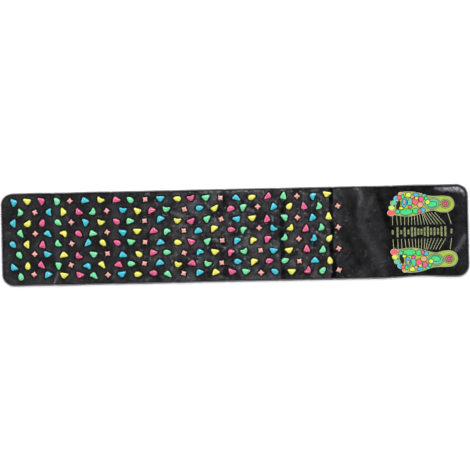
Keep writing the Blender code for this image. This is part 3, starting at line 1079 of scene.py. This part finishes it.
def pebble_tree():
    """Sets one pebble on each point, of the shape and the turn that the point holds."""
    maker = GeometryTree(
        "Pebble Field", Points="Geometry", Shapes="Collection", Size="Float", Finish="Material")
    source = maker.source
    shapes = maker.add(
        "GeometryNodeCollectionInfo", Collection=source["Shapes"],
        Separate_Children=True, Reset_Children=True)
    which = maker.add("GeometryNodeInputNamedAttribute", {"data_type": "INT"}, Name="shape")
    turn = maker.add("GeometryNodeInputNamedAttribute", {"data_type": "FLOAT"}, Name="turn")
    angles = maker.add("ShaderNodeCombineXYZ", Z=turn[0])
    size = maker.add("ShaderNodeCombineXYZ", X=source["Size"], Y=source["Size"], Z=1.0)
    pebbles = maker.add(
        "GeometryNodeInstanceOnPoints", Points=source["Points"], Instance=shapes[0],
        Pick_Instance=True, Instance_Index=which[0], Rotation=angles[0], Scale=size[0])
    return maker.finish(pebbles[0])


def stitch_tree():
    """Lays stitches of one length along a line of edges."""
    maker = GeometryTree(
        "Stitch Line", Path="Geometry", Pitch="Float", Length="Float", Radius="Float",
        Finish="Material")
    source = maker.source
    curve = maker.add("GeometryNodeMeshToCurve", Mesh=source["Path"])
    places = maker.add(
        "GeometryNodeCurveToPoints", {"mode": "LENGTH"}, Curve=curve[0], Length=source["Pitch"])
    turn = maker.add("FunctionNodeAlignRotationToVector", {"axis": "X"}, Vector=places["Tangent"])
    half = maker.maths("MULTIPLY", source["Length"], 0.5)
    size = maker.add("ShaderNodeCombineXYZ", X=half, Y=source["Radius"], Z=source["Radius"])
    thread = maker.add("GeometryNodeMeshUVSphere", Segments=6, Rings=4, Radius=1.0)
    stitches = maker.add(
        "GeometryNodeInstanceOnPoints", Points=places["Points"], Instance=thread["Mesh"],
        Rotation=turn[0], Scale=size[0])
    smooth = maker.add("GeometryNodeSetShadeSmooth", Geometry=stitches[0])
    return maker.finish(smooth[0])


# Materials

class Finish(Nodes):
    """A Principled material, built up from a few named steps."""

    def __init__(self, name, base, roughness, **sockets):
        self.material = bpy.data.materials.new(name)
        self.material.use_nodes = True
        super().__init__(self.material.node_tree)
        self.base = tuple(base)
        self.apply(Base_Color=(*self.base, 1), Roughness=roughness, **sockets)
        self.place = self.add("ShaderNodeTexCoord")["Object"]

    def apply(self, **sockets):
        """Feed the shader's inputs, and give the material."""
        self.feed_named(self.tree.nodes["Principled BSDF"], sockets)
        return self.material

    def times(self, product, *others):
        """All the values multiplied together."""
        for other in others:
            product = self.maths("MULTIPLY", product, other)
        return product

    def part(self, axis):
        """The place along one axis."""
        return self.add("ShaderNodeSeparateXYZ", Vector=self.place)[axis]

    def attribute(self, name):
        """A named value of the mesh."""
        return self.add("ShaderNodeAttribute", {"attribute_name": name})["Fac"]

    def noise(self, scale, detail=3.0, roughness=0.5):
        """Noise of a scale, from about 0.3 to 0.7."""
        return self.add(
            "ShaderNodeTexNoise", Vector=self.place, Scale=scale, Detail=detail,
            Roughness=roughness)["Fac"]

    def clouds(self, scale, low=0.3, high=0.7, to_low=0.0, to_high=1.0, **settings):
        """Noise of a scale, carried from one range to another."""
        return self.ranged(self.noise(scale, **settings), low, high, to_low, to_high)

    def cells(self, scale, **inputs):
        """Distance from the middle of small cells."""
        return self.add(
            "ShaderNodeTexVoronoi", Vector=self.place, Scale=scale, **inputs)["Distance"]

    def tone(self, share):
        """The base colour made darker or lighter."""
        return tuple(min(channel * share, 1.0) for channel in self.base)

    def mixed(self, share, first, second):
        """A share of the second colour over the first."""
        mix = self.node("ShaderNodeMix", {"data_type": "RGBA"})
        for index, value in ((0, share), (6, first), (7, second)):
            self.feed(mix.inputs[index], (*value, 1) if isinstance(value, tuple) else value)
        return mix.outputs[2]

    def bump(self, height, strength, distance, **normal):
        """Normals of a surface with this height."""
        return self.add(
            "ShaderNodeBump", Height=height, Strength=strength, Distance=distance,
            **normal)["Normal"]


def ink_palette(finish, ink):
    """The colour of each ink, from the number that a face holds."""
    palette = finish.node("ShaderNodeValToRGB", Fac=ink)
    ramp = palette.color_ramp
    ramp.interpolation = "CONSTANT"
    for i, label in enumerate(INKS):
        stop = ramp.elements[i] if i < 2 else ramp.elements.new(i / len(INKS))
        stop.position = i / len(INKS)
        stop.color = (*getattr(colours(), f"ink_{label}"), 1) if i else (0, 0, 0, 1)
    return palette.outputs["Color"]


def leather_finish(name, printed=False):
    """Near-black leather, with painted haze, highlights and shade, and inks where it is printed."""
    finish = Finish(name, colours().leather, 0.4, Specular_IOR_Level=0.34)
    tones = {label: finish.tone(share) for label, share in LEATHER_TONES.items()}
    along = finish.part("X")
    middle = finish.times(
        finish.ranged(along, *WRINKLES_START), finish.ranged(along, 0.36, 0.44, 1.0, 0.0))
    bare = finish.ranged(along, *BARE_START)

    # Painted reflection haze and painted glints, most of them in the middle of the mat, and a slightly
    # darker bare part
    spread = finish.times(
        finish.maths("MULTIPLY_ADD", middle, 0.6, 0.4),
        finish.maths("MULTIPLY_ADD", bare, -0.4, 1.0))
    haze = finish.times(finish.clouds(16.0, 0.40, 0.68, detail=5.0, roughness=0.65), spread)
    surface = finish.mixed(haze, tones["plain"], tones["haze"])
    glint = finish.times(
        finish.clouds(60.0, 0.56, 0.72, roughness=0.6),
        finish.maths("MULTIPLY_ADD", middle, 0.8, 0.2))
    surface = finish.mixed(glint, surface, tones["glint"])
    surface = finish.mixed(finish.times(bare, 0.08), surface, tones["bare"])

    # Painted highlights on the ridges, painted shade in the hollows and over the end of the mat
    worn = finish.attribute("worn")
    sheen_and_shade_share = finish.times(worn, finish.clouds(120.0, to_low=0.5, roughness=0.6))
    surface = finish.mixed(sheen_and_shade_share, surface, tones["worn"])
    surface = finish.mixed(finish.ranged(sheen_and_shade_share, 0.95, 1.9), surface, tones["sheen"])
    # Painted shade in the hollows
    surface = finish.mixed(finish.ranged(worn, -1.0, -0.05, 0.9, 0.0), surface, tones["hollow"])
    # Painted shade over the end of the mat, where less light is reflected
    dark_end = finish.times(
        finish.ranged(along, 0.545, 0.60), finish.ranged(along, 0.825, 0.85, 1.0, 0.2),
        finish.ranged(sheen_and_shade_share, 0.1, 0.5, 0.66, 0.0))
    surface = finish.mixed(dark_end, surface, tones["dark end"])

    # Bands of painted shade and painted highlight beside the creases, uneven along their length
    wandering = finish.maths(
        "ADD", along, finish.clouds(9.0, to_low=-6 * MM, to_high=6 * MM))
    broken = finish.clouds(24.0, high=0.6, to_low=0.55)
    gloss = finish.clouds(38.0, to_low=0.22, to_high=0.34, roughness=0.55)

    def band(number, offset, low, high, strength):
        """A strip beside a crease."""
        away = finish.maths("SUBTRACT", wandering, CREASES[number - 1] + offset)
        share = finish.ranged(finish.maths("ABSOLUTE", away), low, high, strength, 0.0)
        return finish.times(share, broken)

    for number, offset, darkness in CREASE_SHADE_BANDS:
        share = band(number, offset, 5 * MM, 14 * MM, darkness)
        # Painted shade in the band beside the crease
        surface = finish.mixed(share, surface, tones["crease"])
        gloss = finish.times(gloss, finish.maths("MULTIPLY_ADD", share, -0.3, 1.0))
    for number, offset, paleness in CREASE_HIGHLIGHT_BANDS:
        share = band(number, offset, 4 * MM, 16 * MM, paleness)
        # Painted highlight in the band beside the crease
        surface = finish.mixed(share, surface, tones["rubbed"])

    if printed:
        ink = finish.attribute("ink")
        there = finish.maths("GREATER_THAN", ink, 1 / len(INKS))
        rubbed = finish.clouds(160.0, 0.4, 0.8, 1.0, 0.82, roughness=0.6)
        surface = finish.mixed(finish.times(there, rubbed), surface, ink_palette(finish, ink))
        gloss = finish.maths("MULTIPLY_ADD", there, 0.05, gloss)

    # Fine pebbled grain, under larger soft dents
    dents = finish.bump(finish.noise(90.0, 2.0), 0.35, 0.0012)
    grain = finish.bump(finish.cells(750.0), 0.35, 0.00025, Normal=dents)
    return finish.apply(Base_Color=surface, Roughness=gloss, Normal=grain)


def pebble_finish(name):
    """Glossy moulded plastic, with painted shade darkening its foot."""
    finish = Finish(
        f"pebble_{name}", getattr(colours(), name), 0.28, Specular_IOR_Level=0.35,
        Coat_Weight=0.7, Coat_Roughness=0.1)
    # Painted shade: darker towards the pebble's foot
    height = finish.ranged(finish.part("Z"), COVER_HIGH + 4.0 * MM, PEBBLE_TOP - 1.9 * MM)
    crown = finish.mixed(finish.clouds(60.0, detail=2.0), finish.tone(0.96), finish.tone(1.04))
    return finish.apply(
        Base_Color=finish.mixed(height, finish.tone(0.05), crown),
        Roughness=finish.clouds(140.0, to_low=0.24, to_high=0.34, detail=2.0),
        Normal=finish.bump(finish.noise(420.0, 2.0), 0.08, 0.0003))


def tape_finish():
    """Woven tape, with a painted highlight along its fold."""
    finish = Finish("binding_tape", colours().tape, 0.5, Specular_IOR_Level=0.12)
    # Painted highlight along the rounded fold
    rubbed = finish.times(finish.attribute("fold"), finish.clouds(55.0, to_low=0.75))
    dark = finish.mixed(finish.clouds(40.0), finish.tone(0.4), finish.tone(0.9))
    return finish.apply(
        Base_Color=finish.mixed(rubbed, dark, finish.tone(30)),
        Roughness=finish.clouds(70.0, to_low=0.34, to_high=0.50, detail=2.0),
        Normal=finish.bump(finish.cells(1400.0), 0.4, 0.0002))


def foam_finish():
    """Dull foam with fine cells."""
    finish = Finish("foam", colours().foam, 0.9)
    cells = finish.cells(1100.0)
    return finish.apply(
        Base_Color=finish.mixed(cells, finish.tone(1.3), finish.tone(0.7)),
        Normal=finish.bump(cells, 0.6, 0.0004))


def backing_finish():
    """Non-woven cloth with a fine grid of grip dots."""
    finish = Finish("anti_slip_fabric", colours().backing, 0.85)
    spot = finish.ranged(finish.cells(220.0, Randomness=0.0), 0.22, 0.34, 1.0, 0.0)
    fibre = finish.noise(900.0, 3.0, 0.7)
    cloth = finish.mixed(fibre, finish.tone(0.7), finish.tone(1.4))
    fuzz = finish.bump(fibre, 0.3, 0.0002)
    return finish.apply(
        Base_Color=finish.mixed(spot, cloth, finish.tone(2.4)),
        Roughness=finish.ranged(spot, 0.0, 1.0, 0.9, 0.55),
        Normal=finish.bump(spot, 0.5, 0.0004, Normal=fuzz))


def thread_finish():
    """Twisted sewing thread."""
    finish = Finish("thread", colours().thread, 0.6)
    twist = finish.add(
        "ShaderNodeTexWave", Vector=finish.place, Scale=600.0, Distortion=2.0)["Fac"]
    return finish.apply(
        Base_Color=finish.mixed(twist, finish.tone(0.7), finish.tone(1.6)),
        Normal=finish.bump(twist, 0.5, 0.0002))


def floor_finish():
    """White studio floor."""
    finish = Finish("studio_floor", colours().floor, 0.9, Specular_IOR_Level=0.1)
    return finish.apply(
        Base_Color=finish.mixed(finish.noise(0.7, 2.0), finish.base, finish.tone(0.985)))


# Operators

class PEBBLEMAT_OT_cover(bpy.types.Operator):
    """Make the PVC leather cover, with its wrinkles and punched holes"""
    bl_idname = "pebble_mat.cover"
    bl_label = "Leather Cover"
    bl_options = {"REGISTER", "UNDO"}

    def execute(self, context):
        size = sizes()
        materials = [leather_finish("pvc_leather")] * (len(SPANS) - 1)
        materials.append(leather_finish("pvc_leather_printed", printed=True))
        holes = [offset_outline(pebble[-1], size.hole_clearance) for pebble in lay_out_pebbles()]
        points, faces, rim, inks = cut_sheet(size.layer_inset, holes, COVER_STEP, chart_prints())
        x = np.array([p.x for p in points])
        y = np.array([p.y for p in points])
        lift, worn = leather_relief(x, y)
        lift[rim] -= HOLE_SINK
        # Painted shade round each punched hole
        worn += HOLE_SHADE_STRENGTH * hole_shade(x, y, holes)
        top = settled(np.column_stack((x, y, COVER_HIGH + lift)))
        pieces = layer_pieces("leather", points, faces, top, COVER_HIGH - COVER_LOW, materials)
        for number, piece, used, numbers, area in pieces:
            # Painted highlight and shade, which the leather's finish reads
            set_values(piece.data, "worn", "POINT", np.tile(worn[used], 2))
            if number == len(SPANS) - 1:
                values = [(inks[i] + 0.5) / len(INKS) for i in numbers]
                values += [0.0] * (len(piece.data.polygons) - len(values))
                set_values(piece.data, "ink", "FACE", values)
            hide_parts(f"cover_{number + 1}", f"cover_{number + 2}")
            bend(piece, number)
            lay_sheet(piece, number, size.layer_inset, area)
        return {"FINISHED"}


class PEBBLEMAT_OT_pebbles(bpy.types.Operator):
    """Set the moulded pebbles in their holes, one group for each colour of a panel"""
    bl_idname = "pebble_mat.pebbles"
    bl_label = "Pebbles"
    bl_options = {"REGISTER", "UNDO"}

    def profile(self):
        """Rings of a pebble from its foot to its crown: share of the outline, and height."""
        side_top = PEBBLE_TOP - sizes().crown_rise
        return (
            (1.00, PAD_HIGH), (0.985, COVER_HIGH + 0.3 * MM), (0.85, side_top - 2.5 * MM),
            (0.765, side_top - 0.4 * MM), (0.68, PEBBLE_TOP - 2.2 * MM),
            (0.54, PEBBLE_TOP - 0.8 * MM), (0.28, PEBBLE_TOP),
        )

    def shape(self, name, outline, material):
        """A pebble at the origin, lofted from ring to ring."""
        rings = [
            [Vector((*p, z)) for p in scaled_outline(outline, share)]
            for share, z in self.profile()
        ]
        count = len(outline)
        verts = [v for ring in rings for v in ring]
        top = len(verts) - count
        verts.append(sum(rings[-1], Vector()) / count)
        faces = [tuple(reversed(range(count))), *ring_walls(count, len(rings))]
        faces += [(top + i, top + (i + 1) % count, len(verts) - 1) for i in range(count)]
        return make_object(name, verts, faces, material, sharp=60)

    def execute(self, context):
        shapes = bpy.data.collections.new("Pebble Shapes")
        materials = {name: pebble_finish(name) for name in COLOUR_CYCLE}
        outlines = pebble_outlines()
        letters = sorted(outlines)
        for letter in letters:
            shape = self.shape(f"shape_{letter}", outlines[letter], materials["blue"])
            bpy.context.scene.collection.objects.unlink(shape)
            shapes.objects.link(shape)
        tree = pebble_tree()
        groups = {}
        for panel, name, letter, turn, x, y, _ in lay_out_pebbles():
            groups.setdefault((panel, name), []).append((letters.index(letter), turn, x, y))
        for (panel, name), members in sorted(groups.items()):
            which, turns, xs, ys = zip(*members)
            points = bpy.data.meshes.new("places")
            points.from_pydata([(x, y, 0) for x, y in zip(xs, ys)], [], [])
            set_values(points, "shape", "POINT", which, "INT")
            set_values(points, "turn", "POINT", turns)
            piece = add_object(f"pebbles_{name}_{panel}", points)
            run_tree(piece, tree, {"Shapes": shapes, "Size": 1.0, "Finish": materials[name]})
            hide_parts(f"pad_{panel}")
            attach(piece, f"panel_{panel}")
        for shape in list(shapes.objects):
            bpy.data.objects.remove(shape)
        bpy.data.collections.remove(shapes)
        return {"FINISHED"}


class PEBBLEMAT_OT_pad(bpy.types.Operator):
    """Make the foam pad under the cover"""
    bl_idname = "pebble_mat.pad"
    bl_label = "Foam Pad"
    bl_options = {"REGISTER", "UNDO"}

    def execute(self, context):
        pieces = plain_layer_pieces(
            "foam", sizes().layer_inset, PAD_HIGH, PAD_LOW, foam_finish())
        for number, piece, *_ in pieces:
            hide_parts(f"pad_{number + 1}", f"pad_{number + 2}")
            bend(piece, number)
        return {"FINISHED"}


class PEBBLEMAT_OT_backing(bpy.types.Operator):
    """Make the anti-slip backing"""
    bl_idname = "pebble_mat.backing"
    bl_label = "Anti-slip Backing"
    bl_options = {"REGISTER", "UNDO"}

    def execute(self, context):
        pieces = plain_layer_pieces(
            "grip_backing", BACKING_INSET, BACKING_HIGH, 0, backing_finish())
        for number, piece, _, _, area in pieces:
            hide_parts(f"backing_{number + 1}", f"backing_{number + 2}")
            bend(piece, number)
            lay_sheet(piece, number, BACKING_INSET, area)
        return {"FINISHED"}


class PEBBLEMAT_OT_binding(bpy.types.Operator):
    """Fold the binding tape round the edge"""
    bl_idname = "pebble_mat.binding"
    bl_label = "Binding Tape"
    bl_options = {"REGISTER", "UNDO"}

    def profile(self):
        """Section of the folded tape, anticlockwise, as (inset, z): a rounded fold and two lips."""
        thick = sizes().tape_thickness
        lip = sizes().tape_lip
        half = TAPE_HIGH / 2
        groove = TAPE_HIGH - GROOVE_DEPTH
        points = [(lip, 0.15 * MM), (lip - 0.3 * MM, 0)]
        for i in range(15):
            angle = math.pi / 2 + math.pi * i / 14
            points.append((TAPE_ROLL + TAPE_ROLL * math.cos(angle), half - half * math.sin(angle)))
        points += [
            (STITCH_INSET - 0.3 * MM, groove), (STITCH_INSET + 0.3 * MM, groove),
            (STITCH_INSET + 1 * MM, TAPE_HIGH), (lip - 0.3 * MM, TAPE_HIGH - 0.05 * MM),
            (lip, TAPE_HIGH - 0.3 * MM), (lip, TAPE_HIGH - thick),
        ]
        for i in range(11):
            angle = math.pi / 2 + math.pi * i / 10
            points.append((TAPE_ROLL + (TAPE_ROLL - thick) * math.cos(angle),
                           half + (half - thick) * math.sin(angle)))
        points.append((lip, thick))
        return points

    def execute(self, context):
        material = tape_finish()
        profile = self.profile()
        count = len(profile)
        # Where the fold's painted highlight lies
        rubbed = [1 - smooth_step(*TAPE_FOLD_HIGHLIGHT, inset) for inset, _ in profile]
        for number, side, nodes, chain in binding_runs():
            verts = settled([
                (*(place + normal * inset), z) for place, normal in chain for inset, z in profile
            ])
            swell = gradient_noise(verts[:, 0], verts[:, 1], 0.017, 12) * 0.12 * MM
            verts[:, 2] += swell * smooth_step(TAPE_HIGH * 0.6, TAPE_HIGH, verts[:, 2])
            faces = [tuple(range(count)), tuple(reversed(range(len(verts) - count, len(verts))))]
            faces += [(a, d, c, b) for a, b, c, d in ring_walls(count, len(chain))]
            piece = make_object(f"tape_{number + 1}{side}", verts, faces, material, sharp=55)
            set_values(piece.data, "fold", "POINT", rubbed * len(chain))
            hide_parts(*nodes)
            bend(piece, number)
        return {"FINISHED"}


class PEBBLEMAT_OT_stitches(bpy.types.Operator):
    """Sew the binding tape down with one line of stitches"""
    bl_idname = "pebble_mat.stitches"
    bl_label = "Binding Stitches"
    bl_options = {"REGISTER", "UNDO"}

    def execute(self, context):
        size = sizes()
        tree = stitch_tree()
        values = {
            "Pitch": size.stitch_pitch, "Length": size.stitch_length,
            "Radius": size.stitch_radius, "Finish": thread_finish(),
        }
        height = TAPE_HIGH - GROOVE_DEPTH + size.stitch_radius * 0.55
        for number, side, _, chain in binding_runs():
            line = settled([(*(place + normal * STITCH_INSET), height) for place, normal in chain])
            path = bpy.data.meshes.new("path")
            path.from_pydata(line.tolist(), [(i, i + 1) for i in range(len(line) - 1)], [])
            piece = add_object(f"stitches_{number + 1}{side}", path)
            run_tree(piece, tree, values)
            bend(piece, number)
        return {"FINISHED"}


class PEBBLEMAT_OT_stage(bpy.types.Operator):
    """Set the floor, the soft studio light and the camera above the mat"""
    bl_idname = "pebble_mat.stage"
    bl_label = "Studio"
    bl_options = {"REGISTER", "UNDO"}

    def floor(self):
        """A wide plain floor, just under the mat."""
        reach = 12.0
        verts = [(-reach, -reach, 0), (reach, -reach, 0), (reach, reach, 0), (-reach, reach, 0)]
        floor = make_object("floor", verts, [(0, 1, 2, 3)], floor_finish())
        floor.location.z = -0.1 * MM

    def world(self):
        """A pale ring of light, stronger on the far side, that fades to a dim ceiling."""
        world = bpy.data.worlds.new("Studio")
        bpy.context.scene.world = world
        world.use_nodes = True
        nodes = Nodes(world.node_tree)
        parts = nodes.add(
            "ShaderNodeSeparateXYZ", Vector=nodes.add("ShaderNodeTexCoord")["Generated"])
        fade = nodes.ranged(parts["Z"], 0.25, 0.97, 1.45, 0.08)
        side = nodes.maths("MULTIPLY_ADD", parts["Y"], 0.9, 1.0)
        nodes.feed_named(nodes.tree.nodes["Background"], {
            "Color": (1, 1, 1, 1), "Strength": nodes.maths("MULTIPLY", fade, side)})

    def softbox(self, name, place, width, height, power):
        """A light that faces the mat, and that the camera doesn't see."""
        light = bpy.data.lights.new(name, "AREA")
        light.shape = "RECTANGLE"
        light.size = width
        light.size_y = height
        light.energy = power
        obj = add_object(name, light)
        obj.location = place
        obj.rotation_euler = (-Vector(place)).to_track_quat("-Z", "Y").to_euler()
        obj.visible_camera = False

    def camera(self):
        """Straight above, turned so that the mat lies in the frame as photographed."""
        camera = bpy.data.cameras.new("camera")
        camera.lens = 100
        camera.sensor_width = 36
        camera.clip_end = 100
        camera.dof.use_dof = False
        across = (PHOTO_SIDE / 2 - PHOTO_MIDDLE[0]) / PIXELS_PER_METRE
        up = (PHOTO_MIDDLE[1] - PHOTO_SIDE / 2) / PIXELS_PER_METRE
        shift = Matrix.Rotation(-PHOTO_TILT, 2) @ Vector((across, up))
        distance = PHOTO_SIDE / PIXELS_PER_METRE * camera.lens / camera.sensor_width
        obj = add_object("camera", camera)
        obj.location = (*shift, COVER_HIGH + distance)
        obj.rotation_euler = (0, 0, -PHOTO_TILT)
        bpy.context.scene.camera = obj

    def execute(self, context):
        self.floor()
        self.world()
        for softbox in SOFTBOXES:
            self.softbox(*softbox)
        self.camera()
        settings = bpy.context.scene.view_settings
        settings.view_transform = "Standard"
        settings.look = "None"
        return {"FINISHED"}


class PEBBLEMAT_PT_panel(bpy.types.Panel):
    """Sizes, colours and steps of the massage mat"""
    bl_idname = "PEBBLEMAT_PT_panel"
    bl_label = "Pebble Massage Mat"
    bl_space_type = "VIEW_3D"
    bl_region_type = "UI"
    bl_category = "Pebble Mat"

    def draw(self, context):
        layout = self.layout
        for step in STEPS:
            layout.operator(step.bl_idname)
        for group in (context.scene.mat_sizes, context.scene.mat_colours):
            box = layout.box()
            for name in group.__annotations__:
                box.prop(group, name)


STEPS = (
    PEBBLEMAT_OT_stage,
    PEBBLEMAT_OT_backing,
    PEBBLEMAT_OT_pad,
    PEBBLEMAT_OT_cover,
    PEBBLEMAT_OT_pebbles,
    PEBBLEMAT_OT_binding,
    PEBBLEMAT_OT_stitches,
)
CLASSES = (MatSizes, MatColours, *STEPS, PEBBLEMAT_PT_panel)


def register():
    """Add the add-on's classes, and its sizes and colours to the scene."""
    for cls in CLASSES:
        bpy.utils.register_class(cls)
    bpy.types.Scene.mat_sizes = PointerProperty(type=MatSizes)
    bpy.types.Scene.mat_colours = PointerProperty(type=MatColours)


def unregister():
    """Take away what register added."""
    del bpy.types.Scene.mat_colours
    del bpy.types.Scene.mat_sizes
    for cls in reversed(CLASSES):
        bpy.utils.unregister_class(cls)


def main():
    """Run every step."""
    register()
    bpy.ops.pebble_mat.stage()
    bpy.ops.pebble_mat.backing()
    bpy.ops.pebble_mat.pad()
    bpy.ops.pebble_mat.cover()
    bpy.ops.pebble_mat.pebbles()
    bpy.ops.pebble_mat.binding()
    bpy.ops.pebble_mat.stitches()


if __name__ == "__main__":
    main()
